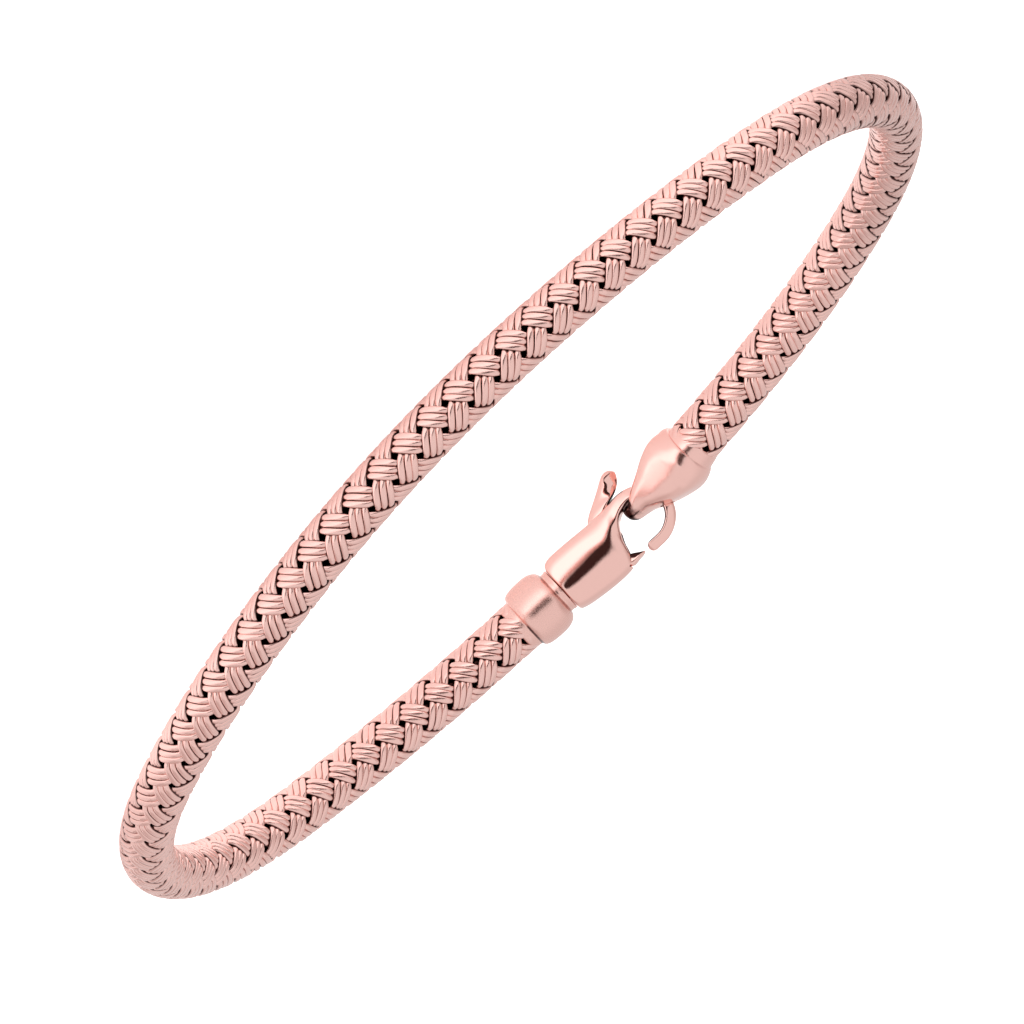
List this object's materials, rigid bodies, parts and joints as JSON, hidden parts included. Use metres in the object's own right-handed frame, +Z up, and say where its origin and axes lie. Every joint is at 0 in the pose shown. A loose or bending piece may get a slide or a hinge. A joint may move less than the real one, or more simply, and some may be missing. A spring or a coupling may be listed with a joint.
{
  "type": "woven bangle",
  "caption": "Oval bangle of hollow woven wire tube, closed by a cast lobster claw that hooks through the eye of a tapered end cap.",
  "frame": {"origin": "middle of the footprint, on the surface that the bangle lies on", "axes": "+Z up through the wrist opening, +X along the oval's long side from the end cap towards the collar, +Y towards the clasp"},
  "size_m": [0.0722, 0.0552, 0.0062],
  "materials": {
    "woven_wire": "polished rose gold wire, woven one over one",
    "cast_gold": "polished rose gold casting",
    "lever_gold": "polished rose gold, a little darker in its recesses"
  },
  "bodies": {
    "bangle": {"woven_tube": "woven_wire", "collar": "cast_gold", "claw": "cast_gold", "rivet": "lever_gold", "end_cap": "cast_gold"},
    "lever": {"lever": "lever_gold"}
  },
  "joints": [
    {"name": "lever_hinge", "type": "hinge", "parent": "bangle", "child": "lever", "pos_m": [-0.0002, 0.02545, 0.00408], "axis": [0.0011, -0.9994, 0.0352], "range_deg": [0, 24], "stiffness_Nm_per_rad": 0.004, "springref_deg": -34.38}
  ]
}
